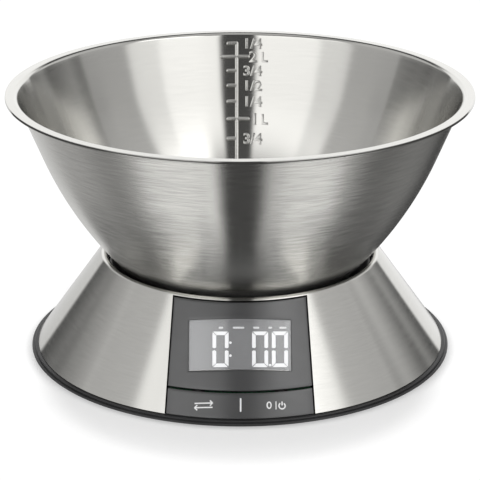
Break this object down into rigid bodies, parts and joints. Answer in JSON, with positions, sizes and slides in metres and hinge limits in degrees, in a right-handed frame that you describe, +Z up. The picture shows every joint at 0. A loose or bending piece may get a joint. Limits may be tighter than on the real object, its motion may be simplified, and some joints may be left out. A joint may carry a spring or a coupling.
{
  "type": "kitchen scale",
  "caption": "Kitchen scale: a flared steel mixing bowl lifts off a conical steel base with a sloped display panel and a rocking key bar.",
  "frame": {"origin": "middle of the base on the floor", "axes": "+Z up, the display faces -Y, +X to the right of someone reading it"},
  "size_m": [0.235, 0.235, 0.1368],
  "materials": {
    "steel": "brushed round the axis",
    "black_plastic": "fine grain",
    "panel": "gloss, dark grey",
    "window": "clear, tinted grey",
    "display": "grey with lit segments",
    "light_guide": "white",
    "strip": "banded rubber",
    "board": "green solder mask",
    "chip": "moulded black",
    "zinc": "zinc plate",
    "aluminium": "milled",
    "seal": "white silicone",
    "battery": "plain wrap",
    "nickel": "nickel plate",
    "lead": "soft sheath",
    "rubber": "matte"
  },
  "bodies": {
    "base": {"steel_cover": "steel", "inner_housing": "black_plastic", "bottom_cover": "black_plastic", "front_panel": "panel", "display_window": "window", "lcd_glass": "display", "backlight": "light_guide", "lcd_connector": "strip", "circuit_board": "board", "circuit_chip": "chip", "switch_left": "chip", "switch_right": "chip", "board_screws": "zinc", "cover_screws": "zinc", "load_cell": "aluminium", "gauge_seal": "seal", "cell_base_spacer": "aluminium", "cell_base_screws": "zinc", "battery_front": "battery", "battery_rear": "battery", "contact_bridge": "nickel", "contact_front": "nickel", "contact_rear": "nickel", "spring_front": "nickel", "spring_rear": "nickel", "sensor_lead": "lead", "battery_lead_front": "lead", "battery_lead_rear": "lead", "foot_1": "rubber", "foot_2": "rubber", "foot_3": "rubber", "foot_4": "rubber"},
    "platform": {"weighing_dish": "black_plastic", "platform_bracket": "aluminium", "platform_screws": "zinc", "cell_top_spacer": "aluminium", "cell_top_screws": "zinc"},
    "bowl": {"bowl": "steel"},
    "key": {"key_bar": "panel"},
    "battery_door": {"battery_door": "black_plastic"}
  },
  "joints": [
    {"name": "platform_load", "type": "slide", "parent": "base", "child": "platform", "axis": [0, 0, -1], "range_m": [0, 0.0004], "stiffness_N_per_m": 120000, "springref_m": -0.00004, "deforming": ["load_cell"]},
    {"name": "bowl_lift", "type": "slide", "parent": "platform", "child": "bowl", "axis": [0, 0, 1], "range_m": [0, 0.12]},
    {"name": "key_rock", "type": "hinge", "parent": "base", "child": "key", "pos_m": [0, -0.09652, 0.01391], "axis": [0, 0.575, 0.8181], "range_deg": [-0.8, 0.8], "stiffness_Nm_per_rad": 2.3},
    {"name": "battery_door_hinge", "type": "hinge", "parent": "base", "child": "battery_door", "pos_m": [0, 0.07475, 0.0023], "axis": [1, 0, 0], "range_deg": [0, 60]}
  ]
}
